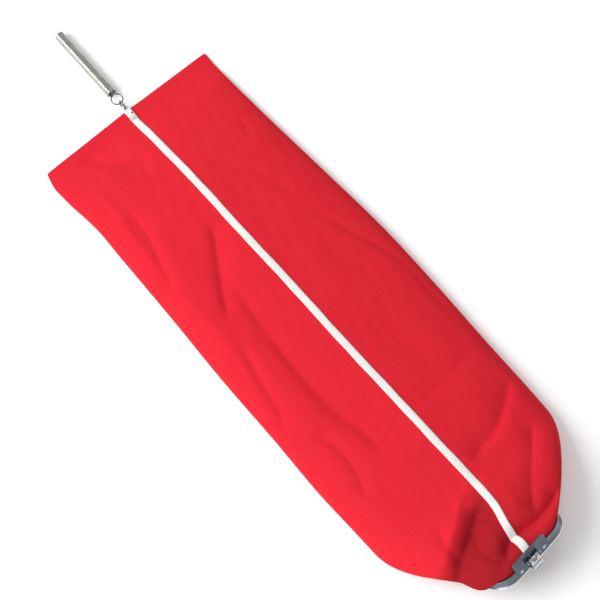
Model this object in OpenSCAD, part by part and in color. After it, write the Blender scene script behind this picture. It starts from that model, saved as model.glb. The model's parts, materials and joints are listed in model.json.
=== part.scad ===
// Cloth outer dust bag for an upright vacuum cleaner, lying flat on its back.
// Millimetres, +X across the bag, +Y towards the hanging spring, +Z up.

/* [Bag] */
// Half width of the cloth at the closed top edge
top_half_w = 119; // [100:1:140]
// Half width of the cloth at its widest, about two thirds of the way down
belly_half_w = 129; // [104:1:150]
// Length of the straight part of the bag, from the top edge to the shoulders
straight_len = 588; // [400:4:700]
// Thickness of the sewn top edge
top_thick = 5; // [3:0.5:10]
// Thickness of the lying bag half way down
mid_thick = 26.5; // [15:0.5:60]
// Thickness of the lying bag at the shoulders
shoulder_thick = 38; // [20:1:70]
// Thickness of the cloth wall
cloth_t = 1.5; // [0.8:0.1:3]

/* [Mouth coupling] */
// Outside width of the steel collar
collar_w = 108; // [90:1:140]
// Outside depth of the steel collar, front to back
collar_d = 66; // [45:1:90]
// Corner radius of the collar
collar_r = 25; // [12:1:32]
// Height of the collar wall
collar_h = 11; // [8:0.5:25]
// Wall thickness of the collar
collar_t = 1.2; // [0.8:0.1:2.5]
// Sideways shift of the mouth from the bag's centre line
mouth_shift = -10; // [-30:0.5:30]
// Distance of the mouth's centre from the top edge
mouth_y = 682; // [500:0.5:800]
// Tilt of the mouth's axis below the floor plane, degrees
mouth_tilt = 50; // [20:1:85]
// Turn of the mouth seen from above, degrees
mouth_yaw = 7; // [-20:0.5:20]

/* [Latch] */
// Width of the latch plate
plate_w = 49; // [30:1:60]
// Height of the latch plate
plate_h = 19; // [12:0.5:30]
// Sideways shift of the latch from the middle of the collar
latch_shift = -5; // [-15:0.5:15]
// Radius of the latch pin
pin_r = 1.5; // [1:0.1:2.5]
// Radial clearance between pin and lever
pin_gap = 0.06; // [0.03:0.01:0.1]
// Width of the latch lever
lever_w = 13.2; // [8:0.2:18]
// How far the finger tab stands past the mouth's rim
tab_past = 4; // [2:0.5:8]

/* [Seam tape and spring] */
// Width of the white binding tape
tape_w = 8.6; // [6:0.2:14]
// Thickness of the tape
tape_t = 1.1; // [0.6:0.1:2]
// How far the folded tape end stands past the top edge
tab_out = 8; // [4:0.5:20]
// Outside diameter of the spring
spring_d = 12.7; // [8:0.1:20]
// Wire diameter of the spring
wire_d = 1.6; // [1:0.1:3]
// Length of the close-wound coil
coil_len = 101.6; // [60:0.8:160]
// Outside diameter of the link ring
link_d = 13.2; // [10:0.2:20]
// Wire diameter of the link ring
link_wire = 1.8; // [1:0.1:3]

/* [Hidden] */
$fn = 48;

red = [0.86, 0.12, 0.16];
white = [0.93, 0.93, 0.9];
steel = [0.66, 0.68, 0.7];
dark_steel = [0.3, 0.34, 0.37];
rubber = [0.06, 0.06, 0.06];

// the row's origin is the middle of the whole object's footprint
origin_y = 291.35;
// clearance between parts that aren't joined
gap = 0.3;

// ---- mouth ----
half_w_collar = collar_w / 2;
half_d_collar = collar_d / 2;
lip = 1.2;
lip_h = 1.4;
catch_out = 1.9;
catch_t = 1.15;
// the rear catch's outer edge rests on the floor
mouth_z = (half_d_collar + lip) * cos(mouth_tilt) + catch_out * sin(mouth_tilt);
cloth_off = collar_t + gap;
cloth_end = -7.1;
sleeve_t = 1.2;

module row() {
    translate([0, origin_y, 0]) children();
}
// the mouth's frame: x across, y to the front, z out of the mouth
module mouth() {
    row() translate([mouth_shift, -mouth_y, mouth_z]) rotate([0, 0, mouth_yaw])
        rotate([90 + mouth_tilt, 0, 0]) children();
}
function turned(p) =
    let (c = cos(mouth_tilt), s = sin(mouth_tilt))
    [p[0], -s * p[1] - c * p[2], c * p[1] - s * p[2]];
function mouth_dir(p) =
    let (q = turned(p), c = cos(mouth_yaw), s = sin(mouth_yaw))
    [c * q[0] - s * q[1], s * q[0] + c * q[1], q[2]];
function mouth_pt(p) = [mouth_shift, -mouth_y, mouth_z] + mouth_dir(p);

// ---- the bag's sections ----
// Y, half width
widths = [[-straight_len, belly_half_w - 3], [-500, belly_half_w - 1], [-400, belly_half_w],
          [-300, belly_half_w - 1], [-206, belly_half_w - 5], [-96, top_half_w + 1.5],
          [-40, top_half_w + 3], [-10, top_half_w + 3], [0, top_half_w]];
// Y, thickness
thicknesses = [[-straight_len, shoulder_thick], [-540, 0.8 * shoulder_thick + 4.5],
               [-460, mid_thick + 3.5], [-320, mid_thick], [-200, mid_thick - 2.5],
               [-110, mid_thick - 6.5], [-50, mid_thick / 2], [-16, top_thick + 0.1], [0, top_thick]];
edge_height = 5.5;
// share of the height that the front loses from the middle to the side
roof_fall = 0.3;
function section_pt(y, a, t) =
    let (w = lookup(y, widths) - 2 * t, h = lookup(y, thicknesses) - t,
         e = max(min(edge_height, lookup(y, thicknesses) / 2), t + 0.4),
         c = abs(cos(a)), s = sin(a),
         roof = sqrt(1 - pow(c, 5)) * (1 - roof_fall * c))
    [w * cos(a), y, s >= 0 ? e + (h - e) * roof : e - (e - t) * pow(min(1, -2.4 * s), 0.6)];

// rounded rectangle walked at even steps along each quarter
function quarter_pt(a, b, r, f) =
    let (side = b - r, arc = PI * r / 2, q = side + arc + a - r, s = f * q,
         g = (s - side) / r * 180 / PI)
    s <= side ? [a, s] : s <= side + arc ? [a - r + r * cos(g), b - r + r * sin(g)] : [q - s, b];
function corner_pt(a, b, r, ang) =
    let (m = ang % 360, k = floor(m / 90), f = (m - 90 * k) / 90,
         p = quarter_pt(a, b, r, k % 2 == 0 ? f : 1 - f))
    [k == 1 || k == 2 ? -p[0] : p[0], k >= 2 ? -p[1] : p[1]];
function neck_pt(z, a, t) =
    let (o = cloth_off + t, p = corner_pt(half_w_collar - o, half_d_collar - o, collar_r - o, a))
    mouth_pt([p[0], p[1], z]);

// ---- the shoulders, a smooth curve from the straight part into the collar ----
shoulder_end = -12.2;
leave_middle = 88;
leave_side = 34;
enter_along = 26;
enter_inward = 66;
function unit(v) = v / norm(v);
function outward(a) =
    let (p = corner_pt(half_w_collar, half_d_collar, collar_r, a),
         q = corner_pt(half_w_collar + 6, half_d_collar + 6, collar_r + 6, a))
    unit(mouth_dir([q[0] - p[0], q[1] - p[1], 0]));
function shoulder_pt(s, a, t) =
    let (p0 = section_pt(-straight_len, a, t),
         run = (p0 - section_pt(-straight_len + 4, a, t)) / 4,
         p1 = neck_pt(shoulder_end, a, t),
         side = pow(cos(a), 2), front = max(0, sin(a)),
         t0 = run * (leave_middle + leave_side * side),
         t1 = mouth_dir([0, 0, 1]) * enter_along * (1 + front) - outward(a) * enter_inward * side,
         q = s * s, c = s * s * s)
    (2 * c - 3 * q + 1) * p0 + (c - 2 * q + s) * t0 + (3 * q - 2 * c) * p1 + (c - q) * t1;

straight_ys = [0, -14.5, -34, -60, -96, -140, -206, -300, -400, -470, -530, -straight_len];
shoulder_ss = [0.14, 0.28, 0.42, 0.55, 0.66, 0.76, 0.85, 0.93];
neck_zs = [shoulder_end, cloth_end];
n_loop = 56;
function loop_of(kind, v, t) =
    [for (i = [0:n_loop - 1])
        let (a = 360 * i / n_loop)
        kind == 0 ? section_pt(v, a, t) : kind == 1 ? shoulder_pt(v, a, t) : neck_pt(v, a, t)];
outer_loops = concat([for (y = straight_ys) loop_of(0, y, 0)],
                     [for (s = shoulder_ss) loop_of(1, s, 0)],
                     [for (z = neck_zs) loop_of(2, z, 0)]);
// the inside starts below the sewn top edge
inside_start = 2;
inner_loops = concat([for (i = [len(neck_zs) - 1:-1:0]) loop_of(2, neck_zs[i], cloth_t)],
                     [for (i = [len(shoulder_ss) - 1:-1:0]) loop_of(1, shoulder_ss[i], cloth_t)],
                     [for (i = [len(straight_ys) - 1:-1:inside_start]) loop_of(0, straight_ys[i], cloth_t)]);
cloth_loops = concat(outer_loops, inner_loops);

module bag_cloth() {
    n = n_loop;
    last = (len(cloth_loops) - 1) * n;
    sides = [for (k = [0:len(cloth_loops) - 2], i = [0:n - 1])
                let (j = (i + 1) % n, a = k * n + i, b = k * n + j)
                each [[a, b, b + n], [a, b + n, a + n]]];
    start_cap = [for (i = [1:n - 2]) [0, i + 1, i]];
    end_cap = [for (i = [1:n - 2]) [last, last + i, last + i + 1]];
    color(red) row()
        polyhedron(points = [for (l = cloth_loops) each l],
                   faces = concat(sides, start_cap, end_cap), convexity = 6);
}

// ---- tape down the front seam ----
tape_lift = 0.15;
thread = 0.2;
front_line = [for (k = [1:len(straight_ys) + len(shoulder_ss) - 1]) outer_loops[k][n_loop / 4]];
function tape_turn(k) =
    let (s = k - len(straight_ys) + 1)
    s < 0 ? 0 : mouth_yaw * shoulder_ss[s];
function tape_up(k) =
    let (a = front_line[max(0, k - 1)], b = front_line[min(len(front_line) - 1, k + 1)], d = b - a)
    unit([0, d[2], -d[1]]);
// a flat strip along the front line; dx moves it sideways, lo and hi are its heights over the cloth
module strip(w, lo, hi, dx) {
    rows = [for (k = [0:len(front_line) - 1])
               let (x = [cos(tape_turn(k)), sin(tape_turn(k)), 0], up = tape_up(k),
                    p = front_line[k] + dx * x)
               [p - w / 2 * x + lo * up, p + w / 2 * x + lo * up,
                p + w / 2 * x + hi * up, p - w / 2 * x + hi * up]];
    last = 4 * (len(rows) - 1);
    sides = [for (k = [0:len(rows) - 2], i = [0:3])
                let (j = (i + 1) % 4, a = 4 * k + i, b = 4 * k + j)
                each [[a, b + 4, b], [a, a + 4, b + 4]]];
    ends = [[0, 1, 2], [0, 2, 3], [last, last + 2, last + 1], [last, last + 3, last + 2]];
    polyhedron(points = [for (r = rows) each r], faces = concat(sides, ends), convexity = 4);
}
module seam_tape() {
    color(white) row() strip(tape_w, tape_lift, tape_lift + tape_t, 0);
}
module seam_stitching() {
    for (s = [-1, 1]) color(white) row()
        strip(0.5, tape_lift + tape_t - 0.02, tape_lift + tape_t + thread, s * (tape_w / 2 - 1.2));
}

// ---- folded tape end, its eyelet and rivet ----
tab_z = top_thick + 0.25;
tab_t = 1.5;
tab_in = 14;
tab_corner = 2.2;
eye_y = 3.8;
eyelet_r = 2.3;
flange_r = 3;
flange_t = 0.33;
rivet_x = 2.4;
rivet_y = -5.6;
rivet_r = 0.62;
module top_tab() {
    color(white) row() translate([0, 0, tab_z]) linear_extrude(tab_t) difference() {
        union() {
            translate([-tape_w / 2, -tab_in]) square([tape_w, tab_in + tab_out - tab_corner]);
            translate([-tape_w / 2 + tab_corner, 0]) square([tape_w - 2 * tab_corner, tab_out]);
            for (s = [-1, 1])
                translate([s * (tape_w / 2 - tab_corner), tab_out - tab_corner]) circle(r = tab_corner);
        }
        translate([0, eye_y]) circle(r = eyelet_r);
        translate([rivet_x, rivet_y]) circle(r = rivet_r);
    }
}
module tab_eyelet() {
    color(white) row() translate([0, eye_y, tab_z]) difference() {
        union() {
            translate([0, 0, -flange_t]) cylinder(r = eyelet_r, h = tab_t + 2 * flange_t);
            translate([0, 0, -flange_t - 0.02]) cylinder(r = flange_r, h = flange_t);
            translate([0, 0, tab_t + 0.02]) cylinder(r = flange_r, h = flange_t);
        }
        translate([0, 0, -1]) cylinder(r = 1.65, h = tab_t + 2);
    }
}
module tab_rivet() {
    color(dark_steel) row() translate([rivet_x, rivet_y, tab_z]) {
        translate([0, 0, 0.1]) cylinder(r = rivet_r, h = tab_t);
        translate([0, 0, tab_t + 0.02]) cylinder(r = 1, h = 0.35);
    }
}

// ---- link ring and extension spring ----
link_z = link_d / 2;
link_mean_r = (link_d - link_wire) / 2;
link_y = eye_y + link_mean_r;
loop_d = 15.5;
loop_mean_r = (loop_d - wire_d) / 2;
loop_y = link_y + link_mean_r - link_wire / 2 - 0.35 - wire_d / 2 + loop_mean_r;
spring_z = spring_d / 2;
coil_mean_r = (spring_d - wire_d) / 2;
first_turn_y = loop_y + loop_mean_r + wire_d / 2 + 0.9;
coil_y = first_turn_y + 0.05;
// one groove for two turns of wire
grooves = round(coil_len / wire_d / 2);
groove_step = coil_len / grooves;
groove_depth = 0.35;
end_y = coil_y + coil_len + gap;
module torus(mean_r, r) {
    rotate_extrude() translate([mean_r, 0]) circle(r = r, $fn = 16);
}
module rod(a, b, r) {
    d = b - a;
    translate(a) rotate([0, acos(d[2] / norm(d)), atan2(d[1], d[0])])
        cylinder(r = r, h = norm(d), $fn = 20);
}
module link_ring() {
    color(steel) row() translate([0, link_y, link_z]) rotate([0, 90, 0])
        torus(link_mean_r, link_wire / 2);
}
module spring_lower_loop() {
    r = wire_d / 2 - 0.02;
    color(steel) row() {
        translate([0, loop_y, spring_z]) torus(loop_mean_r, wire_d / 2);
        translate([0, first_turn_y - wire_d / 2 - 0.05, spring_z]) rotate([90, 0, 0])
            torus(coil_mean_r, r);
        rod([0, loop_y + loop_mean_r, spring_z],
            [0, first_turn_y - wire_d / 2, spring_z + coil_mean_r], r);
    }
}
module spring_coil() {
    r = spring_d / 2;
    outline = concat([[r - wire_d, 0]],
                     [for (i = [0:grooves - 1]) each [[r - groove_depth, i * groove_step],
                                                      [r, (i + 0.5) * groove_step]]],
                     [[r - groove_depth, coil_len], [r - wire_d, coil_len]]);
    color(steel) row() translate([0, coil_y, spring_z]) rotate([-90, 0, 0])
        rotate_extrude($fn = 40) polygon(outline);
}
module spring_upper_end() {
    bar = coil_mean_r - 0.2;
    color(steel) row() translate([0, end_y, spring_z]) {
        rotate([-90, 0, 0]) difference() {
            cylinder(r = spring_d / 2, h = 2 * wire_d);
            translate([0, 0, -1]) cylinder(r = spring_d / 2 - wire_d, h = 2 * wire_d + 2);
        }
        translate([-bar, 1.5 * wire_d, 0]) rotate([0, 90, 0])
            cylinder(r = wire_d / 2, h = 2 * bar, $fn = 24);
    }
}

// ---- collar, sleeve and gasket ----
rivet_hole_r = 1.08;
plate_rivet_x = 18;
plate_rivet_z = -7;
catch_rivet_x = 8;
catch_rivet_z = -6;
catch_w = 24;
module rounded(a, b, r) {
    square([2 * (a - r), 2 * b], center = true);
    square([2 * a, 2 * (b - r)], center = true);
    for (x = [-1, 1], y = [-1, 1]) translate([x * (a - r), y * (b - r)]) circle(r = r);
}
// a wall that follows the collar; o is how far inside the collar's outer face it starts
module ring_wall(o, t, z0, z1) {
    translate([0, 0, z0]) linear_extrude(z1 - z0) difference() {
        rounded(half_w_collar - o, half_d_collar - o, collar_r - o);
        rounded(half_w_collar - o - t, half_d_collar - o - t, collar_r - o - t);
    }
}
module across(x, y, z, r, h) {
    translate([x, y, z]) rotate([-90, 0, 0]) cylinder(r = r, h = h, $fn = 32);
}
module coupling_collar() {
    color(steel) mouth() difference() {
        union() {
            ring_wall(0, collar_t, -collar_h, 0);
            ring_wall(-lip, lip + collar_t, -lip_h, 0);
        }
        // the rear catch sits in a break of the lip
        translate([-catch_w / 2 - 0.5, -half_d_collar - 5, -3]) cube([catch_w + 1, 5, 4]);
        for (s = [-1, 1]) {
            across(latch_shift + s * plate_rivet_x, half_d_collar - 3, plate_rivet_z, rivet_hole_r, 4);
            across(s * catch_rivet_x, -half_d_collar - 1, catch_rivet_z, rivet_hole_r, 4);
        }
    }
}
module clamp_sleeve() {
    color(steel) mouth() union() {
        ring_wall(cloth_off + cloth_t + gap, sleeve_t, -11.8, -5.6);
        ring_wall(cloth_off, cloth_t + gap + sleeve_t, -6.8, -5.6);
    }
}
module mouth_gasket() {
    color(rubber) mouth() ring_wall(cloth_off, 4.7, -5.55, -3);
}
module rear_catch() {
    color(steel) mouth() {
        translate([-catch_w / 2, -half_d_collar - lip, -10]) cube([catch_w, catch_t, 10 + catch_out]);
        translate([-catch_w / 2, -half_d_collar - lip, catch_out - lip_h]) cube([catch_w, 4.4, lip_h]);
        for (s = [-1, 1])
            across(s * catch_rivet_x, -half_d_collar - 0.45, catch_rivet_z, 1.1, collar_t + 0.5);
    }
}

// ---- latch ----
plate_y = half_d_collar + 0.05;
plate_t = 1.5;
plate_z = -22;
plate_corner = 3;
pin_y = half_d_collar + collar_t + 3.4;
pin_z = -11;
ear_r = 2.8;
ear_t = 1.6;
ear_x = lever_w / 2 + 0.6;
knuckle_r = 2.7;
arm_y = pin_y + 0.6;
arm_t = 1.4;
claw_z = 0.4;
claw_t = 1.5;
claw_in = 3.2;
rim_w = 1.2;
rim_h = 0.8;
module latch() {
    mouth() translate([latch_shift, 0, 0]) children();
}
module pin_line(x, r, l) {
    translate([x, pin_y, pin_z]) rotate([0, 90, 0]) cylinder(r = r, h = l);
}
module plate_outline() {
    r = plate_corner;
    translate([-plate_w / 2, r]) square([plate_w, plate_h - 2 * r]);
    translate([-plate_w / 2 + r, 0]) square([plate_w - 2 * r, plate_h]);
    for (x = [-1, 1], z = [r, plate_h - r]) translate([x * (plate_w / 2 - r), z]) circle(r = r);
}
module latch_plate() {
    color(dark_steel) latch() {
        difference() {
            translate([0, plate_y + plate_t, plate_z]) rotate([90, 0, 0])
                linear_extrude(plate_t) plate_outline();
            for (s = [-1, 1])
                across(s * plate_rivet_x, half_d_collar - 1, plate_rivet_z, rivet_hole_r, 4);
        }
        for (x = [-ear_x - ear_t, ear_x]) difference() {
            union() {
                pin_line(x, ear_r, ear_t);
                translate([x, plate_y + plate_t - 0.3, pin_z - ear_r])
                    cube([ear_t, pin_y - plate_y - plate_t + 0.3, 2 * ear_r]);
            }
            pin_line(x - 1, pin_r - 0.02, ear_t + 2);
        }
    }
}
module plate_rivets() {
    color(steel) latch() for (s = [-1, 1]) {
        across(s * plate_rivet_x, half_d_collar - collar_t + 0.05, plate_rivet_z, 1.1, 3);
        intersection() {
            across(s * plate_rivet_x, plate_y + plate_t + 0.05, plate_rivet_z, 2.2, 1.1);
            translate([s * plate_rivet_x, plate_y + plate_t - 1.9, plate_rivet_z])
                sphere(r = 3, $fn = 32);
        }
    }
}
module latch_pin() {
    l = ear_x + ear_t;
    color(steel) latch() {
        pin_line(-l - 0.5, pin_r, 2 * l + 1);
        for (x = [-l - 1.05, l + 0.05]) pin_line(x, pin_r + 0.8, 1);
    }
}
module latch_lever() {
    w = lever_w / 2;
    face_y = arm_y + arm_t;
    // the raised edge starts past the torsion spring's leg
    tab_z0 = pin_z + 7.4;
    color(steel) latch() difference() {
        union() {
            pin_line(-w, knuckle_r, lever_w);
            translate([-w, arm_y, pin_z]) cube([lever_w, arm_t, tab_past - pin_z]);
            translate([-w, half_d_collar - claw_in, claw_z])
                cube([lever_w, face_y - half_d_collar + claw_in, claw_t]);
            // raised edge round the finger tab
            for (x = [-w, w - rim_w])
                translate([x, face_y - 0.1, tab_z0]) cube([rim_w, rim_h, tab_past - tab_z0]);
            for (z = [tab_z0, tab_past - rim_w])
                translate([-w, face_y - 0.1, z]) cube([lever_w, rim_h, rim_w]);
        }
        pin_line(-w - 1, pin_r + pin_gap, lever_w + 2);
        // room for the torsion spring
        translate([-2.9, pin_y - 4, pin_z - 4]) cube([5.8, 8, 7]);
    }
}
module latch_spring() {
    color(steel) latch() {
        difference() {
            pin_line(-2.4, 2.6, 4.8);
            pin_line(-3.4, 1.75, 7);
        }
        rod([-2, pin_y - 2.15, pin_z], [-2, pin_y - 2.15, pin_z - 5.5], 0.4);
        rod([2, pin_y + 2.2, pin_z - 0.4], [2, arm_y + arm_t + 1.3, pin_z + 6.5], 0.4);
    }
}

bag_cloth();
seam_tape();
seam_stitching();
top_tab();
tab_eyelet();
tab_rivet();
link_ring();
spring_lower_loop();
spring_coil();
spring_upper_end();
coupling_collar();
clamp_sleeve();
mouth_gasket();
latch_plate();
plate_rivets();
latch_pin();
latch_lever();
latch_spring();
rear_catch();
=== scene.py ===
import math
import json
import bmesh
import bpy
import numpy as np
from mathutils import Matrix, Vector


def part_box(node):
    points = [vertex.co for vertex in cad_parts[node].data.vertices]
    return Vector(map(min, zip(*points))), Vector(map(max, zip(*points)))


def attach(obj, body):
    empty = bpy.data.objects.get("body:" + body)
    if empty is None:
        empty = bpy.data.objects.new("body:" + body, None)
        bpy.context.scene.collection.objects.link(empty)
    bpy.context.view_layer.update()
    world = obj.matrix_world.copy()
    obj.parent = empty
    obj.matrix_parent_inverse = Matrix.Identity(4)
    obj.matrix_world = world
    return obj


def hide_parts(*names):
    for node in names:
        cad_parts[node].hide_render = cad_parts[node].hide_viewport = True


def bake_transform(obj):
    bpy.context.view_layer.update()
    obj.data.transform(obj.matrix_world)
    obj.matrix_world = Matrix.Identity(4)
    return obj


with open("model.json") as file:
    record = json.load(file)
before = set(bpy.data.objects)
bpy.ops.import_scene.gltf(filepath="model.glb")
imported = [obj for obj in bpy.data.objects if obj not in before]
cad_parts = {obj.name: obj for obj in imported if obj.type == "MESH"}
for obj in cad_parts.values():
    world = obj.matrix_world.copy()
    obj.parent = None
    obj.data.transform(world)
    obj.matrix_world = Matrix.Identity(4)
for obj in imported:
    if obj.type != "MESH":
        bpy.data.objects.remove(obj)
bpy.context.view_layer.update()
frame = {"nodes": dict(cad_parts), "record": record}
scene = bpy.context.scene
MM = 0.001

# The bag's own frame: millimetres, Y = 0 at the closed top edge, -Y towards the mouth, Z up from the floor.
TAB_OUT = 8.0
ORIGIN_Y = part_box("top_tab")[1].y / MM - TAB_OUT
MOUTH = np.array([-10.0, -682.0, 0.0])
MOUTH_TILT = math.radians(50)
MOUTH_YAW = math.radians(7)
COLLAR_A = 54.0
COLLAR_B = 33.0
COLLAR_R = 25.0
COLLAR_WALL = 1.2
LIP_OUT = 1.9
# the tilted collar rests on the floor with the outside of its lip
MOUTH[2] = (COLLAR_B + COLLAR_WALL) * math.cos(MOUTH_TILT) + LIP_OUT * math.sin(MOUTH_TILT)


def to_row(points):
    """Bag frame in millimetres to the row frame in metres."""
    points = np.asarray(points, float)
    return (points + np.array([0.0, ORIGIN_Y, 0.0])) * MM


def mouth_point(x, y, z):
    """A point of the mouth's frame: x across, y to the latch side, z out of the mouth."""
    c, s = math.cos(MOUTH_TILT), math.sin(MOUTH_TILT)
    cy, sy = math.cos(MOUTH_YAW), math.sin(MOUTH_YAW)
    x, y, z = np.broadcast_arrays(x, y, z)
    q0, q1, q2 = x, -s * y - c * z, c * y - s * z
    return np.stack([MOUTH[0] + cy * q0 - sy * q1, MOUTH[1] + sy * q0 + cy * q1, MOUTH[2] + q2], -1)


# ---------------------------------------------------------------- scene helpers
def link(obj):
    scene.collection.objects.link(obj)
    return obj


def mesh_object(name, verts, faces, smooth=True):
    mesh = bpy.data.meshes.new(name)
    mesh.from_pydata([tuple(v) for v in verts], [], [tuple(f) for f in faces])
    mesh.polygons.foreach_set("use_smooth", [smooth] * len(mesh.polygons))
    mesh.update()
    return link(bpy.data.objects.new(name, mesh))


def ring_faces(rings, sides, closed=False):
    """Quads between rings of points that follow each other, and back to the first ring where closed."""
    last = rings if closed else rings - 1
    return [(r * sides + k, r * sides + (k + 1) % sides, (r + 1) % rings * sides + (k + 1) % sides,
             (r + 1) % rings * sides + k) for r in range(last) for k in range(sides)]


def face_outward(piece):
    """Turns every face of a piece to the outside."""
    shape = bmesh.new()
    shape.from_mesh(piece.data)
    bmesh.ops.recalc_face_normals(shape, faces=shape.faces)
    shape.to_mesh(piece.data)
    shape.free()


def ramp(x, pairs):
    """Smooth interpolation through a few (position, value) pairs."""
    xs = np.array([p[0] for p in pairs], float)
    ys = np.array([p[1] for p in pairs], float)
    order = np.argsort(xs)
    xs, ys = xs[order], ys[order]
    slope = np.gradient(ys, xs)
    x = np.clip(np.asarray(x, float), xs[0], xs[-1])
    i = np.clip(np.searchsorted(xs, x) - 1, 0, len(xs) - 2)
    h = xs[i + 1] - xs[i]
    t = (x - xs[i]) / h
    return ((2 * t**3 - 3 * t**2 + 1) * ys[i] + (t**3 - 2 * t**2 + t) * h * slope[i]
            + (3 * t**2 - 2 * t**3) * ys[i + 1] + (t**3 - t**2) * h * slope[i + 1])


def smooth_step(x, a, b):
    t = np.clip((np.asarray(x, float) - a) / (b - a), 0, 1)
    return t * t * (3 - 2 * t)


# ---------------------------------------------------------------- camera, light, floor
def look_at(position, target, right):
    position, target, right = Vector(position), Vector(target), Vector(right).normalized()
    back = (position - target).normalized()
    up = back.cross(right).normalized()
    rows = [(right[i], up[i], back[i], position[i]) for i in range(3)]
    return Matrix(rows + [(0, 0, 0, 1)])


CAMERA_PLACE = (-0.4615, -0.5668, 1.8672)
CAMERA_AIM = (0.00205, -0.0202, 0)
CAMERA_RIGHT = (0.7627, -0.6468, 0)
CAMERA_LENS = 105.9
FLOOR_HALF = 3
WORLD_STRENGTH = 0.52

camera_data = bpy.data.cameras.new("camera")
camera_data.lens = CAMERA_LENS
camera_data.sensor_width = 36
camera_data.clip_end = 50
camera = link(bpy.data.objects.new("camera", camera_data))
camera.matrix_world = look_at(CAMERA_PLACE, CAMERA_AIM, CAMERA_RIGHT)
scene.camera = camera
scene.view_settings.view_transform = "Standard"

floor_corners = [(x * FLOOR_HALF, y * FLOOR_HALF, 0) for x, y in ((-1, -1), (1, -1), (1, 1), (-1, 1))]
floor = mesh_object("floor", floor_corners, [(0, 1, 2, 3)], False)
world = bpy.data.worlds.new("studio")
scene.world = world
world.use_nodes = True
world.node_tree.nodes["Background"].inputs[0].default_value = (1, 1, 1, 1)
world.node_tree.nodes["Background"].inputs[1].default_value = WORLD_STRENGTH


def area_light(name, location, size, energy, color=(1, 1, 1)):
    data = bpy.data.lights.new(name, "AREA")
    data.size = size
    data.energy = energy
    data.color = color
    lamp = link(bpy.data.objects.new(name, data))
    lamp.location = location
    lamp.rotation_mode = "QUATERNION"
    lamp.rotation_quaternion = Vector(location).to_track_quat("Z", "Y")
    return lamp


area_light("key", (-1.8, 0.8, 1.45), 1.9, 76)
area_light("glint", (1.1, 1.0, 1.5), 0.3, 3, (0.93, 0.97, 1.0))


# ---------------------------------------------------------------- materials
def material(name, color, roughness=0.5, metallic=0.0):
    mat = bpy.data.materials.new(name)
    mat.use_nodes = True
    shader = mat.node_tree.nodes["Principled BSDF"]
    shader.inputs["Base Color"].default_value = (*color, 1)
    shader.inputs["Roughness"].default_value = roughness
    shader.inputs["Metallic"].default_value = metallic
    return mat


def add_node(mat, kind, **values):
    made = mat.node_tree.nodes.new(kind)
    for key, value in values.items():
        made.inputs[key.replace("_", " ")].default_value = value
    return made


def scaled_coordinates(mat, output, scale, turn=0.0):
    """UV or object coordinates through a Mapping node."""
    source = mat.node_tree.nodes.new("ShaderNodeTexCoord")
    mapping = add_node(mat, "ShaderNodeMapping", Scale=scale, Rotation=(0, 0, turn))
    mat.node_tree.links.new(source.outputs[output], mapping.inputs["Vector"])
    return mapping.outputs["Vector"]


def mixed_color(mat, vector, low, high, scale, detail=4.0, grain=0.5):
    """The base colour wanders between two tones."""
    nodes, links = mat.node_tree.nodes, mat.node_tree.links
    noise = add_node(mat, "ShaderNodeTexNoise", Scale=scale, Detail=detail, Roughness=grain)
    tones = nodes.new("ShaderNodeValToRGB")
    tones.color_ramp.elements[0].position = 0.3
    tones.color_ramp.elements[1].position = 0.7
    tones.color_ramp.elements[0].color = (*low, 1)
    tones.color_ramp.elements[1].color = (*high, 1)
    links.new(vector, noise.inputs["Vector"])
    links.new(noise.outputs["Fac"], tones.inputs["Fac"])
    links.new(tones.outputs["Color"], nodes["Principled BSDF"].inputs["Base Color"])
    return noise


# how many waves a wave texture draws along one unit at a scale of 1
WAVES_PER_UNIT = 3.2


def twill(mat, ribs_per_metre, depth):
    """Fine diagonal ribs crossed by threads, as bump on UVs in metres."""
    nodes, links = mat.node_tree.nodes, mat.node_tree.links
    heights = []
    for turn, share in ((math.radians(58), 1.0), (math.radians(-20), 0.5)):
        scale = ribs_per_metre * share / WAVES_PER_UNIT
        wave = add_node(mat, "ShaderNodeTexWave", Scale=scale, Distortion=1.2, Detail=2.0, Detail_Scale=2.0)
        links.new(scaled_coordinates(mat, "UV", (1, 1, 1), turn), wave.inputs["Vector"])
        heights.append(wave.outputs["Fac"])
    total = nodes.new("ShaderNodeMath")
    total.operation = "ADD"
    links.new(heights[0], total.inputs[0])
    links.new(heights[1], total.inputs[1])
    bump = add_node(mat, "ShaderNodeBump", Strength=0.35, Distance=depth)
    links.new(total.outputs[0], bump.inputs["Height"])
    links.new(bump.outputs["Normal"], nodes["Principled BSDF"].inputs["Normal"])


def cloth_material(name, low, high, roughness, sheen):
    mat = material(name, high, roughness)
    mixed_color(mat, scaled_coordinates(mat, "UV", (1, 1, 1)), low, high, 800.0, 3.0, 0.6)
    twill(mat, 900, 0.00016)
    shader = mat.node_tree.nodes["Principled BSDF"]
    shader.inputs["Sheen Weight"].default_value = sheen
    shader.inputs["Sheen Roughness"].default_value = 0.5
    shader.inputs["Sheen Tint"].default_value = (1.0, 0.55, 0.55, 1)
    shader.inputs["Specular IOR Level"].default_value = 0.15
    return mat


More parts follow.
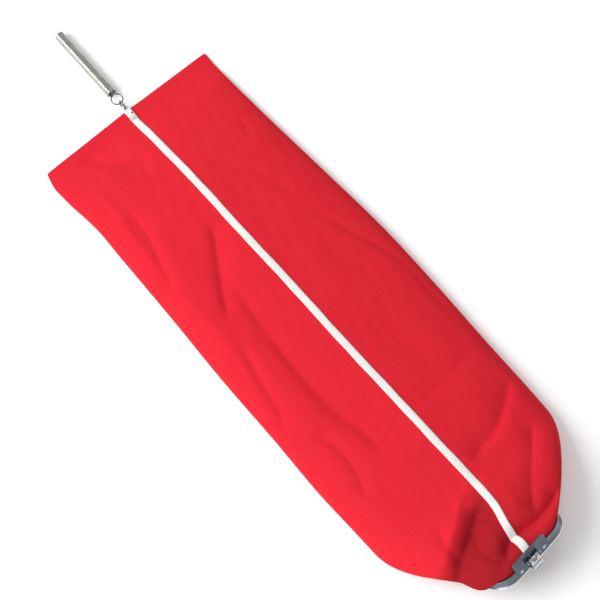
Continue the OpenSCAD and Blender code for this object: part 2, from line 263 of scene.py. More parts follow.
def steel_material(name, low, high, roughness, scratch=0.12, metallic=1.0):
    """Worn plated steel: a wandering tone and roughness, and faint scratches."""
    mat = material(name, high, roughness, metallic)
    nodes, links = mat.node_tree.nodes, mat.node_tree.links
    noise = mixed_color(mat, scaled_coordinates(mat, "Object", (1, 1, 1)), low, high, 90.0)
    spread = add_node(mat, "ShaderNodeMapRange", To_Min=roughness - 0.08, To_Max=roughness + scratch)
    links.new(noise.outputs["Fac"], spread.inputs["Value"])
    links.new(spread.outputs["Result"], nodes["Principled BSDF"].inputs["Roughness"])
    grain = add_node(mat, "ShaderNodeTexNoise", Scale=260.0, Detail=6.0)
    links.new(scaled_coordinates(mat, "Object", (1, 12, 1)), grain.inputs["Vector"])
    bump = add_node(mat, "ShaderNodeBump", Strength=0.12, Distance=0.0001)
    links.new(grain.outputs["Fac"], bump.inputs["Height"])
    links.new(bump.outputs["Normal"], nodes["Principled BSDF"].inputs["Normal"])
    return mat


def painted_highlight_past(mat, axis, start, width, bright):
    """The colour turns to bright where the steel is past start along axis: a painted highlight along a rim.
    """
    nodes, links = mat.node_tree.nodes, mat.node_tree.links
    base = nodes["Principled BSDF"].inputs["Base Color"]
    worn = base.links[0].from_socket
    along = nodes.new("ShaderNodeVectorMath")
    along.operation = "DOT_PRODUCT"
    along.inputs[1].default_value = axis
    links.new(scaled_coordinates(mat, "Object", (1, 1, 1)), along.inputs[0])
    share = add_node(mat, "ShaderNodeMapRange", From_Min=start, From_Max=start + width)
    links.new(along.outputs["Value"], share.inputs["Value"])
    mix = nodes.new("ShaderNodeMixRGB")
    mix.inputs["Color2"].default_value = (*bright, 1)
    links.new(share.outputs["Result"], mix.inputs["Fac"])
    links.new(worn, mix.inputs["Color1"])
    links.new(mix.outputs["Color"], base)


def darker_by(mat, attribute, least):
    """The base colour falls to least times itself where the mesh's attribute is 1."""
    nodes, links = mat.node_tree.nodes, mat.node_tree.links
    base = nodes["Principled BSDF"].inputs["Base Color"]
    clean = base.links[0].from_socket
    source = nodes.new("ShaderNodeAttribute")
    source.attribute_name = attribute
    mix = nodes.new("ShaderNodeMixRGB")
    mix.blend_type = "MULTIPLY"
    mix.inputs["Color2"].default_value = (least, least, least, 1)
    links.new(source.outputs["Fac"], mix.inputs["Fac"])
    links.new(clean, mix.inputs["Color1"])
    links.new(mix.outputs["Color"], base)


red_cloth = cloth_material("red_cloth", (0.54, 0.0118, 0.0207), (0.755, 0.0184, 0.0358), 0.9, 0.0)
# painted shade: the red cloth is darkened by the collar
darker_by(red_cloth, "painted_shade", 0.52)
white_cloth = cloth_material("white_cloth", (0.70, 0.69, 0.67), (0.80, 0.79, 0.77), 0.85, 0.03)
white_thread = material("white_thread", (0.74, 0.73, 0.71), 0.75)
nickel_wire = steel_material("nickel_wire", (0.47, 0.465, 0.44), (0.57, 0.565, 0.54), 0.3, 0.06)
# the spring wire is darkened where the loop is
darker_by(nickel_wire, "darker_loop", 0.3)
dark_nickel = steel_material("dark_nickel", (0.15, 0.147, 0.137), (0.24, 0.235, 0.22), 0.3, 0.06)
zinc_steel = steel_material("zinc_steel", (0.54, 0.57, 0.60), (0.62, 0.65, 0.68), 0.2, 0.06)
grey_plate = steel_material("grey_plate", (0.10, 0.125, 0.15), (0.17, 0.20, 0.235), 0.34, 0.12, 0.9)
dark_steel = steel_material("dark_steel", (0.05, 0.05, 0.055), (0.10, 0.10, 0.11), 0.4)
collar_steel = steel_material("collar_steel", (0.13, 0.15, 0.17), (0.21, 0.24, 0.27), 0.32, 0.12, 0.95)
mouth_axis = mouth_point(0, 0, 1) - mouth_point(0, 0, 0)
lip_start = float(to_row(mouth_point(0, 0, -1.75)) @ mouth_axis)
# painted highlight along the collar's lip
painted_highlight_past(collar_steel, tuple(mouth_axis), lip_start, 0.3 * MM, (0.78, 0.80, 0.82))
gasket_rubber = material("gasket_rubber", (0.02, 0.02, 0.02), 0.7)
floor_paint = material("floor_paint", (0.97, 0.97, 0.97), 1.0)
floor_shader = floor_paint.node_tree.nodes["Principled BSDF"]
floor_shader.inputs["Specular IOR Level"].default_value = 0.0
# a faint glow keeps the studio floor near white
floor_shader.inputs["Emission Color"].default_value = (1, 1, 1, 1)
floor_shader.inputs["Emission Strength"].default_value = 0.1
floor.data.materials.append(floor_paint)

# ---------------------------------------------------------------- the steel parts, as the CAD has them
FINISH = {"red_cloth": red_cloth, "white_tape": white_cloth, "white_thread": white_thread,
          "nickel_wire": nickel_wire, "zinc_steel": zinc_steel, "grey_plate": grey_plate,
          "dark_steel": dark_steel, "gasket_rubber": gasket_rubber}
EDGE_BREAK = {"latch_plate": 0.45, "latch_lever": 0.25, "coupling_collar": 0.3, "rear_catch": 0.25,
              "clamp_sleeve": 0.2, "tab_rivet": 0.12, "latch_pin": 0.15}
for part in frame["record"]["subparts"]:
    node = frame["nodes"][part["node"]]
    node.data.materials.clear()
    node.data.materials.append(FINISH[part["material_slot"]])
frame["nodes"]["coupling_collar"].data.materials[0] = collar_steel
frame["nodes"]["link_ring"].data.materials[0] = dark_nickel
for name, width in EDGE_BREAK.items():
    node = frame["nodes"][name]
    flat = node.modifiers.new("join_flats", "DECIMATE")
    flat.decimate_type = "DISSOLVE"
    flat.angle_limit = math.radians(0.6)
    bevel = node.modifiers.new("edge_break", "BEVEL")
    bevel.width = width * MM
    bevel.segments = 3
    bevel.limit_method = "ANGLE"
    bevel.angle_limit = math.radians(32)
    bevel.harden_normals = True

# ---------------------------------------------------------------- the bag's shape
SHOULDER_Y = -588.0
# along the bag (Y), the place of each edge and the thickness
LEFT_EDGE = [(0, -121.5), (-6, -123.2), (-17, -125.8), (-42, -126), (-96, -121), (-143, -122),
             (-238, -124), (-328, -127), (-419, -127.5), (-506, -129), (-551, -127.5), (-600, -126)]
RIGHT_EDGE = [(0, 119), (-19, 118), (-98, 120), (-206, 126), (-309, 131), (-405, 130), (-496, 127),
              (-550, 126), (-600, 124)]
THICK = [(0, 5), (-16, 5.4), (-50, 13), (-110, 20), (-200, 24), (-320, 27), (-460, 30), (-540, 35),
         (-600, 39)]


def straight_section(angle, y):
    """A closed section of the lying bag, walked from the right edge over the front to the left edge."""
    y = np.broadcast_to(y, angle.shape).astype(float)
    c, s = np.cos(angle), np.sin(angle)
    left, right = ramp(y, LEFT_EDGE), ramp(y, RIGHT_EDGE)
    thick = ramp(y, THICK)
    edge = np.minimum(5.5, thick / 2)
    x = np.where(c >= 0, c * right, -c * left)
    u = np.abs(c)
    roll = np.where(c >= 0, (1 - u**6) ** 0.5, (1 - u**4) ** 0.5)
    roof = 1 - 0.3 * u * smooth_step(thick, 5, 20)
    top = edge + (thick - edge) * roll * roof
    under = edge - edge * np.minimum(1, 2.4 * np.abs(s)) ** 0.6
    return np.stack([x, y, np.where(s >= 0, top, under)], -1)


def corner_path(a, b, r, turn):
    """Rounded rectangle, walked evenly along each quarter; turn is in quarters from the right end."""
    turn = np.mod(turn, 4)
    k = np.floor(turn).astype(int)
    f = turn - k
    f = np.where(k % 2 == 1, 1 - f, f)
    side, arc, front = b - r, math.pi * r / 2, a - r
    d = f * (side + arc + front)
    g = np.clip((d - side) / r, 0, math.pi / 2)
    x = np.where(d <= side, a, np.where(d <= side + arc, a - r + r * np.cos(g), a - r - (d - side - arc)))
    y = np.where(d <= side, d, np.where(d <= side + arc, b - r + r * np.sin(g), b))
    return np.where((k == 1) | (k == 2), -x, x), np.where(k >= 2, -y, y)


def neck_section(angle, z, inset):
    x, y = corner_path(COLLAR_A - inset, COLLAR_B - inset, COLLAR_R - inset, angle / (math.pi / 2))
    return mouth_point(x, y, z)


def noise_field(x, y, scale, seed):
    """Smooth repeatable noise of about -1 to 1, made from a few sine waves."""
    rng = np.random.default_rng(seed)
    total = np.zeros(np.shape(x))
    for _ in range(9):
        heading = rng.uniform(0, 2 * math.pi)
        length = scale * rng.uniform(0.6, 1.7)
        phase = rng.uniform(0, 2 * math.pi)
        total += np.sin(2 * math.pi * (x * math.cos(heading) + y * math.sin(heading)) / length + phase)
    return total / 3.0


def polyline_distance(x, y, points):
    """Distance to a polyline, positive on its right as it is walked, and the share of its length there."""
    points = np.asarray(points, float)
    lengths = np.r_[0, np.cumsum(np.hypot(*np.diff(points, axis=0).T))]
    best = np.full(np.shape(x), 1e9)
    signed = np.zeros(np.shape(x))
    share = np.zeros(np.shape(x))
    for i in range(len(points) - 1):
        a, b = points[i], points[i + 1]
        d = b - a
        t = np.clip(((x - a[0]) * d[0] + (y - a[1]) * d[1]) / (d @ d), 0, 1)
        dx, dy = x - a[0] - t * d[0], y - a[1] - t * d[1]
        r = np.hypot(dx, dy)
        side = np.where(d[0] * dy - d[1] * dx > 0, -1.0, 1.0)
        near = r < best
        best = np.where(near, r, best)
        signed = np.where(near, side * r, signed)
        share = np.where(near, (lengths[i] + t * math.hypot(*d)) / lengths[-1], share)
    return signed, share


def curve_through(points, step=6.0):
    """A smooth line through a few points."""
    points = np.asarray(points, float)
    lengths = np.r_[0, np.cumsum(np.linalg.norm(np.diff(points, axis=0), axis=1))]
    s = np.linspace(0, lengths[-1], max(3, int(lengths[-1] / step)))
    return np.stack([ramp(s, list(zip(lengths, points[:, k]))) for k in range(points.shape[1])], -1)


# Creases and folds of the front: points from the top edge towards the mouth (X, Y), height in mm, then how
# far they reach to the left and to the right of the line as it is walked.
CREASES = [
    # the soft ridge inside the left edge, with the dip beside it
    ([(-104, -30), (-92, -80), (-96, -130), (-101, -187), (-100, -244), (-98, -300), (-106, -369),
      (-121, -452)], 2.6, 16, 12),
    ([(-80, -105), (-84, -147), (-95, -185), (-104, -222)], -3.2, 6, 14),
    ([(-88, -314), (-98, -367), (-104, -400), (-115, -432)], -3.0, 7, 12),
    # valleys of the left half
    ([(-78, -10), (-63, -37), (-43, -56), (-16, -72)], -2.2, 8, 12),
    ([(-17, -178), (-40, -216), (-61, -250), (-82, -288)], -4.2, 16, 6),
    ([(-48, -246), (-54, -300), (-58, -347), (-60, -390), (-58, -449), (-50, -486), (-50, -535)],
     -4.0, 26, 9),
    ([(-95, -444), (-86, -468), (-84, -492), (-89, -518), (-99, -540)], -2.6, 8, 5),
    # valleys of the right half
    ([(64, -231), (78, -249), (89, -265), (94, -286), (103, -312), (116, -350), (116, -393),
      (117, -451)], -1.7, 7, 4),
    ([(93, -92), (86, -124)], -1.3, 6, 4),
    ([(64, -186), (79, -208)], -1.1, 6, 4),
    ([(30, -120), (52, -150), (70, -176)], -0.9, 8, 6),
    ([(106, -482), (66, -494), (22, -495)], -1.8, 12, 7),
    ([(116, -536), (89, -556), (59, -573), (30, -579), (12, -584)], -5.0, 6, 12),
    ([(97, -590), (67, -621), (44, -643), (20, -672)], -4.6, 7, 9),
]
NECK_FOLDS = [
    # the belly ends in a soft edge and drops before it rises to the collar
    ([(-16, -608), (-31, -612), (-50, -626), (-69, -638), (-90, -652)], 2.4, 8, 7),
    ([(-12, -624), (-36, -639), (-58, -652), (-77, -664), (-92, -677)], -12.0, 27, 12),
    ([(-34, -640), (-46, -660), (-44, -678), (-34, -692)], -4.5, 8, 10),
    ([(-20, -640), (-27, -655), (-29, -672)], 2.0, 10, 10),
    # the step where the stiff seam folds just before the latch plate
    ([(66, -664), (40, -674), (18, -677), (-2, -675), (-14, -675), (-26, -681), (-38, -692)], -11.0, 4.5, 9),
    ([(-60, -610), (-70, -636), (-66, -662), (-58, -684)], -2.6, 8, 8),
    ([(8, -600), (18, -630), (10, -660)], 1.6, 9, 12),
]


def fold_height(x, y, folds):
    total = np.zeros(np.shape(x))
    for points, height, reach_left, reach_right in folds:
        d, share = polyline_distance(x, y, curve_through(points))
        reach = np.where(d > 0, reach_right, reach_left)
        ends = smooth_step(share, -0.02, 0.16) * (1 - smooth_step(share, 0.84, 1.02))
        total += height * ends * np.exp(-np.abs(d / reach) ** 1.3)
    return total


NECK_TOP_Z = -12.2
NECK_INSET = 1.5


def outward_at_neck(angle):
    """The neck's section, and the direction straight out of it at each point."""
    inner = neck_section(angle, NECK_TOP_Z, NECK_INSET)
    out = neck_section(angle, NECK_TOP_Z, -6.0) - inner
    return inner, out / np.linalg.norm(out, axis=-1, keepdims=True)


def shoulder_section(angle, s):
    """From the end of the straight part (s = 0) to the collar's top edge (s = 1)."""
    start = straight_section(angle, SHOULDER_Y)
    nearly = straight_section(angle, SHOULDER_Y + 4)
    run = (start - nearly) / 4.0
    end, outside = outward_at_neck(angle)
    mouth_axis = mouth_point(0, 0, 1) - mouth_point(0, 0, 0)
    top = np.clip(np.sin(angle), 0, 1)
    side = np.abs(np.cos(angle))
    t0 = run * (88 + 34 * side[..., None] ** 2)
    left = np.clip(-np.cos(angle), 0, 1)[..., None]
    into = mouth_axis * (26 + 26 * top[..., None]) - outside * (66 - 14 * left**2) * side[..., None] ** 2
    s = np.broadcast_to(s, angle.shape)[..., None]
    h00, h10 = 2 * s**3 - 3 * s**2 + 1, s**3 - 2 * s**2 + s
    h01, h11 = 3 * s**2 - 2 * s**3, s**3 - s**2
    return h00 * start + h10 * t0 + h01 * end + h11 * into


AROUND = 320
FRONT = AROUND // 4
CLOTH_WALL = 0.9
PUCKER_PITCH = 9.5
PUCKER_HEIGHT = 0.16


def bump_between(x, a, b, c, d):
    """0 before a, 1 from b to c, 0 after d."""
    return smooth_step(x, a, b) * (1 - smooth_step(x, c, d))


def overhang(section, angle, s):
    """The cloth sags out over the left end of the collar and tucks back under itself."""
    angle_deg = np.degrees(angle)
    here = bump_between(angle_deg, 138, 168, 198, 222)
    out = outward_at_neck(angle)[1]
    along = mouth_point(0, 0, 1) - mouth_point(0, 0, 0)
    push_out = 5.2 * bump_between(s, 0.68, 0.88, 0.955, 0.995)
    push_along = 7.5 * bump_between(s, 0.66, 0.86, 0.9, 0.955)
    return section + here[:, None] * (push_out * out + push_along * along)


ys = np.concatenate([[0.0, -0.5, -1.5, -3.0], np.linspace(-5, SHOULDER_Y, 190)])
shoulder_s = np.linspace(0, 1, 72)[1:]
neck_z = [-11.4, -10.4, -9.0, -7.1]
turn = 2 * math.pi * np.arange(AROUND) / AROUND
loops = [straight_section(turn, y) for y in ys]
loops += [overhang(shoulder_section(turn, s), turn, s) for s in shoulder_s]
loops += [neck_section(turn, z, NECK_INSET) for z in neck_z]
surface = np.array(loops)
rows = len(surface)
# the closed edge runs a little askew and peaks at the tape
askew = 2.4 * surface[..., 0] / 120 + 1.2 * np.exp(-((surface[..., 0] / 34) ** 2))
surface[..., 1] += askew * (1 - smooth_step(-surface[..., 1], 0, 90))
is_front = np.clip(np.sin(turn), 0, 1)[None, :] ** 0.5
into_collar = smooth_step(np.arange(rows), rows - 14, rows - 6)[:, None]
at_hem = 1 - smooth_step(surface[..., 1], -22, -4)
X, Y = surface[..., 0].copy(), surface[..., 1].copy()
folds = fold_height(X, Y, CREASES) + fold_height(X, Y, NECK_FOLDS)
# small unevenness of lying cloth
folds += 0.32 * noise_field(X, 0.45 * Y, 55, 3) + 0.13 * noise_field(X, 0.7 * Y, 19, 8)
surface[..., 2] += folds * is_front * at_hem * (1 - into_collar)
# puckers where the tape is sewn on
beside_tape = np.exp(-((np.abs(X) - 6.5) / 3.2) ** 2) * (Y > -600)
pucker = np.sin(2 * math.pi * Y / PUCKER_PITCH + 1.3 * np.sin(Y / 31))
surface[..., 2] += PUCKER_HEIGHT * pucker * beside_tape * is_front * at_hem
surface[..., 2] = np.maximum(surface[..., 2], 0.0)


def grid_mesh(name, grid, closed_start=False):
    """A mesh from rings of points, with UVs in metres."""
    n_rows, n = grid.shape[:2]
    quads = ring_faces(n_rows, n)
    if closed_start:
        quads.append(tuple(reversed(range(n))))
    piece = mesh_object(name, to_row(grid.reshape(-1, 3)), quads)
    across = np.linalg.norm(np.diff(grid, axis=1, append=grid[:, :1]), axis=-1).mean(0)
    u = np.r_[0, np.cumsum(across)] * MM
    along = np.linalg.norm(np.diff(grid, axis=0), axis=-1).mean(1)
    v = np.r_[0, np.cumsum(along)] * MM
    layer = piece.data.uv_layers.new(name="UVMap")
    for polygon in piece.data.polygons:
        wraps = {k % n for k in polygon.vertices} >= {0, n - 1}
        for corner, vertex in zip(polygon.loop_indices, polygon.vertices):
            column = n if wraps and vertex % n == 0 else vertex % n
            layer.data[corner].uv = (u[min(column, len(u) - 1)], v[vertex // n])
    return piece


def thicken(piece, thickness):
    solid = piece.modifiers.new("wall", "SOLIDIFY")
    solid.thickness = thickness * MM
    solid.offset = -1
    solid.use_even_offset = False


# where the cloth's bend starts and ends along the mouth's axis; the start moves back between two heights
BEND_END = -12.6
BEND_START_UNDER = -22.0
BEND_START_FRONT = -96.0
BEND_UNDER_Y = -30.0
BEND_FRONT_Y = 20.0


def neck_share(points):
    """How far each row-frame point follows the coupling: 0 on the bag, 1 in the collar."""
    origin = to_row(mouth_point(0, 0, 0))
    forward = (to_row(mouth_point(0, 0, 1)) - origin) / MM
    upward = (to_row(mouth_point(0, 1, 0)) - origin) / MM
    z = (points - origin) @ forward / MM
    y = (points - origin) @ upward / MM
    front = smooth_step(y, BEND_UNDER_Y, BEND_FRONT_Y)
    start = BEND_START_UNDER + (BEND_START_FRONT - BEND_START_UNDER) * front
    return smooth_step((z - start) / (BEND_END - start), 0, 1)


def bends_at_neck(piece):
    """Bakes the piece's placement into its mesh and works out each point's share of the neck's bend, where
    the front would fold over a longer way than the side on the floor; nothing uses the shares.
    """
    start, end = [tuple(to_row(mouth_point(0, 0, z))) for z in (BEND_START_UNDER, BEND_END)]
    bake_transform(piece)
    points = np.array([v.co for v in piece.data.vertices], float)
    neck_share(points).astype(np.float32)


def painted_shade_near_collar(x, y):
    """A darker tone by the collar, painted shade where the cloth turns away from the light: most of all on
    the left, past the belly's edge.
    """
    edge_point, to_collar = (-50, -626), (0.51, -0.86)
    past_edge = to_collar[0] * (x - edge_point[0]) + to_collar[1] * (y - edge_point[1])
    past_edge += 2.5 * noise_field(x, y, 24, 5)
    left = smooth_step(past_edge, -4, 17)
    right = 0.45 * smooth_step(-y, 606, 665)
    share = smooth_step(x, -14, 4)
    return left * (1 - share) + right * share


bag = grid_mesh("bag_cloth_skin", surface, closed_start=True)
# painted shade by the collar, stored as a value per point
painted_shade = bag.data.attributes.new("painted_shade", "FLOAT", "POINT")
painted_shade.data.foreach_set("value", painted_shade_near_collar(X, Y).reshape(-1).astype(np.float32))
bag.data.materials.append(red_cloth)
thicken(bag, CLOTH_WALL)
bends_at_neck(bag)
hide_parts("bag_cloth")

# ---------------------------------------------------------------- the tape down the front
TAPE_W = 8.6
TAPE_T = 1.0
TAPE_START = -10.0
NECK_SIDE_STEP = -4.0


def row_normals(grid):
    along = np.gradient(grid, axis=0)
    across = (np.roll(grid, -1, axis=1) - np.roll(grid, 1, axis=1)) / 2
    normal = np.cross(along, across)
    return normal / np.maximum(np.linalg.norm(normal, axis=-1, keepdims=True), 1e-9)


def over_surface(row, sideways):
    """Point and outward normal on the bag's front at a distance sideways from its middle line."""
    columns = np.arange(FRONT + 14, FRONT - 15, -1)
    line = surface[row, columns]
    steps = np.linalg.norm(np.diff(line, axis=0), axis=1)
    d = np.r_[0, np.cumsum(steps)]
    d -= d[14]
    point = np.array([np.interp(sideways, d, line[:, k]) for k in range(3)])
    normal = np.array([np.interp(sideways, d, NORMALS[row, columns, k]) for k in range(3)])
    return point, normal / np.linalg.norm(normal)


NORMALS = row_normals(surface)
if NORMALS[40, FRONT, 2] < 0:
    NORMALS = -NORMALS
tape_rows = [r for r in range(rows - 9) if surface[r, FRONT, 1] < TAPE_START]
profile = [(1.0, -0.2), (1.0, 0.55), (0.95, 0.82), (0.6, 0.93), (0.0, 1.0), (-0.6, 0.93), (-0.95, 0.82),
           (-1.0, 0.55), (-1.0, -0.2)]
tape_grid = []
for r in tape_rows:
    y = surface[r, FRONT, 1]
    shift = NECK_SIDE_STEP * smooth_step(-y, 628, 668)
    shift += 0.22 * math.sin(y / 27) + 0.12 * math.sin(y / 9.3)
    half = TAPE_W / 2 + 0.10 * math.sin(y / 6.1 + 1) + 0.35 * smooth_step(-y, 655, 672)
    line = []
    for u, h in profile:
        p, up = over_surface(r, shift + u * half)
        ripple = 0.07 * math.sin(y / 1.9 + 3 * u) if h > 0.5 else 0.0
        line.append(p + up * (h * TAPE_T + ripple))
    tape_grid.append(line)
tape_grid = np.array(tape_grid)
tape = grid_mesh("seam_tape_strip", tape_grid)
tape.data.materials.append(white_cloth)
bends_at_neck(tape)
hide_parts("seam_tape")


# ---------------------------------------------------------------- rows of stitches
STITCH_SIDES = 6
# along a stitch: how far, how thick and how high its thread is there
STITCH_RINGS = [(0.0, 0.45, -0.5), (0.25, 0.95, 0.5), (0.5, 1.0, 0.75), (0.75, 0.95, 0.5), (1.0, 0.45, -0.5)]
STITCH_PITCH = 3.1
STITCH_LENGTH = 2.5
THREAD_W = 0.42
STITCH_RISE = 0.12
ROW_INSET = 0.12


def stitch(a, b, up, width, height):
    """A short raised thread from a to b, tucked in at both ends."""
    side = np.cross(b - a, up)
    side /= np.linalg.norm(side)
    rings = []
    for s, size, rise in STITCH_RINGS:
        centre = a + (b - a) * s + up * height * rise
        for k in range(STITCH_SIDES):
            g = math.pi * k / 3
            rings.append(centre + side * width / 2 * size * math.cos(g) + up * width / 2 * size * math.sin(g))
    caps = [tuple(reversed(range(STITCH_SIDES))), tuple(range(len(rings) - STITCH_SIDES, len(rings)))]
    return rings, ring_faces(len(STITCH_RINGS), STITCH_SIDES) + caps


def stitches_along(line, ups, pitch, length, width, height):
    """A row of stitches along a line, standing off it in the direction given at each of its points."""
    d = np.r_[0, np.cumsum(np.linalg.norm(np.diff(line, axis=0), axis=1))]
    verts, faces = [], []
    for start in np.arange(1.0, d[-1] - pitch, pitch):
        a, b = [np.array([np.interp(start + e, d, line[:, k]) for k in range(3)]) for e in (0, length)]
        up = np.array([np.interp(start, d, ups[:, k]) for k in range(3)])
        rings, quads = stitch(a, b, up / np.linalg.norm(up), width, height)
        faces += [tuple(len(verts) + i for i in quad) for quad in quads]
        verts += rings
    return verts, faces


tape_up = np.array([NORMALS[r, FRONT] for r in tape_rows])
all_verts, all_faces = [], []
for side in (-1, 1):
    near, far = (3, 4) if side < 0 else (5, 4)
    line = tape_grid[:, near] * (1 + ROW_INSET) - tape_grid[:, far] * ROW_INSET
    verts, faces = stitches_along(line, tape_up, STITCH_PITCH, STITCH_LENGTH, THREAD_W, STITCH_RISE)
    all_faces += [tuple(len(all_verts) + i for i in face) for face in faces]
    all_verts += verts
stitches = mesh_object("seam_stitches", to_row(all_verts), all_faces)
face_outward(stitches)
stitches.data.materials.append(white_thread)
bends_at_neck(stitches)
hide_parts("seam_stitching")

# ---------------------------------------------------------------- the folded tape end with its eye
TAB_Z = 5.25
TAB_T = 1.5
TAB_IN = 14.0
EYE_Y = 3.8
EYELET_R = 2.3
TAB_CORNER = 2.6
TAB_POINTS = 56
# the side of the folded tape: how far it is drawn in, at each height; the dip is between the two layers
TAB_LAYERS = [(0.0, 0.1), (0.0, 0.55), (0.12, 0.74), (0.0, 0.95), (0.0, 1.35), (0.18, TAB_T)]


def tab_outline():
    """Strip with a rounded end, walked counter-clockwise."""
    half, corner = TAPE_W / 2, TAB_CORNER
    points = [(half, y) for y in np.linspace(-TAB_IN, TAB_OUT - corner, 20)]
    points += [(half - corner + corner * math.cos(g), TAB_OUT - corner + corner * math.sin(g))
               for g in np.linspace(0, math.pi / 2, 9)[1:]]
    points += [(-x, y) for x, y in reversed(points)]
    return np.array(points)


def tab_piece():
    """Two layers of tape folded back through the ring, with a hole for the eye."""
    outline = tab_outline()
    # the outline's points are matched to the hole's by their direction from the eye
    angle = np.unwrap(np.arctan2(outline[:, 1] - EYE_Y, outline[:, 0]))
    start = angle[0]
    share = np.linspace(0, 1, TAB_POINTS, endpoint=False)
    hole_r = EYELET_R * 0.9
    directions = [start + 2 * math.pi * f for f in share]
    hole = np.array([(hole_r * math.cos(g), EYE_Y + hole_r * math.sin(g)) for g in directions])
    by_angle = np.r_[(angle - start) / (2 * math.pi), 1.0]
    closed = np.vstack([outline, outline[:1]])
    rim = np.stack([np.interp(share, by_angle, closed[:, k]) for k in range(2)], 1)
    levels = []
    for inset, z in TAB_LAYERS:
        ring = rim.copy()
        ring[:, 0] *= 1 - inset / (TAPE_W / 2)
        levels.append((ring, z))
    levels += [(rim * 0.45 + hole * 0.55, TAB_T + 0.08), (hole, TAB_T - 0.1), (hole, 0.1)]
    rings = [np.c_[ring, np.full(TAB_POINTS, TAB_Z + z)] for ring, z in levels]
    quads = ring_faces(len(rings), TAB_POINTS, closed=True)
    return mesh_object("tape_end", to_row(np.concatenate(rings)), quads)


tab = tab_piece()
face_outward(tab)
tab.data.materials.append(white_thread)
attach(tab, "bag")
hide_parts("top_tab")


def tube(name, path, radius, closed=False, sides=10):
    """A round wire along a path in millimetres, with turning kept small from ring to ring."""
    path = np.asarray(path, float)
    n = len(path)
    if closed:
        tangent = np.roll(path, -1, axis=0) - np.roll(path, 1, axis=0)
    else:
        tangent = np.gradient(path, axis=0)
    tangent /= np.linalg.norm(tangent, axis=1, keepdims=True)
    radius = np.broadcast_to(radius, (n,))
    side = np.cross(tangent[0], [0.3, 0.1, 1.0])
    side /= np.linalg.norm(side)
    verts = []
    for p, t, r in zip(path, tangent, radius):
        side = side - t * (side @ t)
        side /= np.linalg.norm(side)
        up = np.cross(t, side)
        for k in range(sides):
            g = 2 * math.pi * k / sides
            verts.append(p + r * (side * math.cos(g) + up * math.sin(g)))
    quads = ring_faces(n, sides, closed)
    if not closed:
        quads += [tuple(reversed(range(sides))), tuple(range((n - 1) * sides, n * sides))]
    return mesh_object(name, to_row(verts), quads)


# the stitched eye: thread wound round the hole's edge
EYE_WINDS = 44
wound = []
for g in np.linspace(0, 2 * math.pi, EYE_WINDS * 10, endpoint=False):
    wind = g * EYE_WINDS
    r = EYELET_R - 0.1 + 0.42 * math.cos(wind)
    wound.append((r * math.cos(g), EYE_Y + r * math.sin(g), TAB_Z + TAB_T / 2 + 0.92 * math.sin(wind)))
eyelet = tube("eye_thread", wound, 0.14, closed=True, sides=6)
eyelet.data.materials.append(white_thread)
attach(eyelet, "bag")
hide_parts("tab_eyelet")

# ---------------------------------------------------------------- the spring as one wire
WIRE_R = 0.8
SPRING_Z = 6.35
COIL_R = 5.55
lower_low, lower_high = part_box("spring_lower_loop")
coil_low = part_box("spring_coil")[0]
upper_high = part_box("spring_upper_end")[1]
LOOP_R = (lower_high.x - lower_low.x) / MM / 2 - WIRE_R
LOOP_Y = lower_low.y / MM - ORIGIN_Y + LOOP_R + WIRE_R
COIL_Y0 = coil_low.y / MM - ORIGIN_Y
END_Y = upper_high.y / MM - ORIGIN_Y
# the eye lies flat and its wire climbs to the first turn
eye = [(LOOP_R * math.sin(g), LOOP_Y + LOOP_R * math.cos(g), SPRING_Z)
       for g in np.linspace(math.radians(20), math.radians(352), 60)]
first_y = COIL_Y0 + WIRE_R
climb = [(-0.6, LOOP_Y + LOOP_R + 0.7, SPRING_Z + 0.7), (-0.5, first_y - 1.3, SPRING_Z + 3.4)]
turns = (END_Y - WIRE_R - first_y) / (2 * WIRE_R)
helix = []
for g in np.linspace(0, 2 * math.pi * turns, int(turns * 26)):
    y = first_y + (g / (2 * math.pi)) * 2 * WIRE_R
    helix.append((COIL_R * math.sin(g), y, SPRING_Z + COIL_R * math.cos(g)))
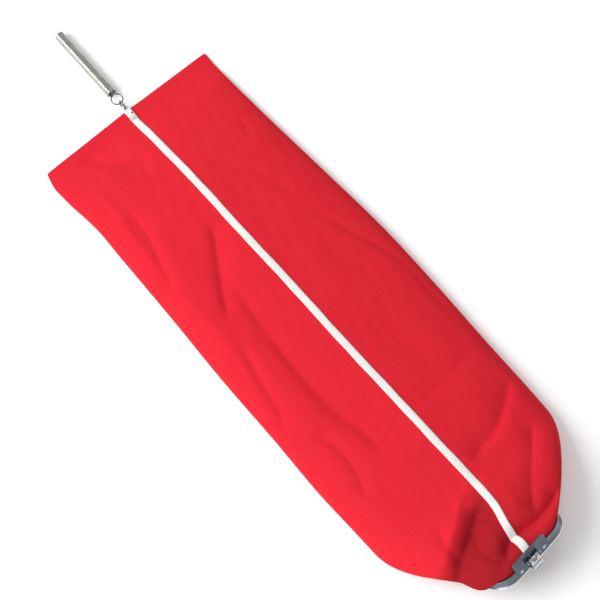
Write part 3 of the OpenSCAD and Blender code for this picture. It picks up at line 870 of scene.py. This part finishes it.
# the wire turns in and crosses the coil's end for the handle's hook
last = np.array(helix[-1])
opposite = np.array([-last[0], last[1], 2 * SPRING_Z - last[2]])
across = [last * (1 - f) + opposite * f for f in (0.12, 0.3, 0.6, 0.88)]
spring_path = curve_through(np.array(eye + climb + helix[:4]), 0.8).tolist() + helix[4:]
spring = tube("spring_wire", spring_path + [tuple(p) for p in across], WIRE_R, sides=10)
spring.data.materials.append(nickel_wire)
# the loop is darker than the coil, as the link ring is
wire_from_coil = np.array([v.co.y for v in spring.data.vertices]) / MM - ORIGIN_Y - COIL_Y0
darker_loop = spring.data.attributes.new("darker_loop", "FLOAT", "POINT")
darker_loop.data.foreach_set("value", (1 - smooth_step(wire_from_coil, -0.5, 2.5)).astype(np.float32))
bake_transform(spring)
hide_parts("spring_lower_loop", "spring_coil", "spring_upper_end")

# ---------------------------------------------------------------- the latch's torsion spring
LATCH_X = -5.0
PIN_OVER_COLLAR = 3.4
PIN_Z = -11.0
PIN = np.array([LATCH_X, COLLAR_B + COLLAR_WALL + PIN_OVER_COLLAR, PIN_Z])
LATCH_WIRE_R = 0.4
LATCH_COIL_R = 2.2
LATCH_TURNS = 5
FACE_Y = 2.0
LATCH_SIDES = 8


def latch_spring_path():
    """A leg by the plate, the coil round the pin and a leg on the lever's face, with each point's share."""
    lower_leg = [(-2.0, -LATCH_COIL_R, z) for z in (-5.5, -4.0, -2.4, -1.0)]
    start = math.pi
    swing = 2 * math.pi * LATCH_TURNS + math.pi
    coil = []
    for g in np.linspace(0, swing, 120):
        y, z = LATCH_COIL_R * math.cos(start + g), -LATCH_COIL_R * math.sin(start + g)
        coil.append((-2.0 + 4.0 * g / swing, y, z))
    upper_leg = [(2.0, FACE_Y + LATCH_WIRE_R + 0.06, z) for z in (1.6, 3.2, 4.8, 6.3)]
    points = np.array(lower_leg + coil + upper_leg) + PIN
    shares = np.r_[np.zeros(len(lower_leg)), np.linspace(0, 1, len(coil)), np.ones(len(upper_leg))]
    return mouth_point(*points.T), shares


latch_path, latch_shares = latch_spring_path()
latch_coil = tube("latch_spring_wire", latch_path, LATCH_WIRE_R, sides=LATCH_SIDES)
latch_coil.data.materials.append(nickel_wire)
tuple(to_row(mouth_point(*PIN)))
tuple(to_row(mouth_point(*(PIN + [0, 0, 3]))))
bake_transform(latch_coil)
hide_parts("latch_spring")
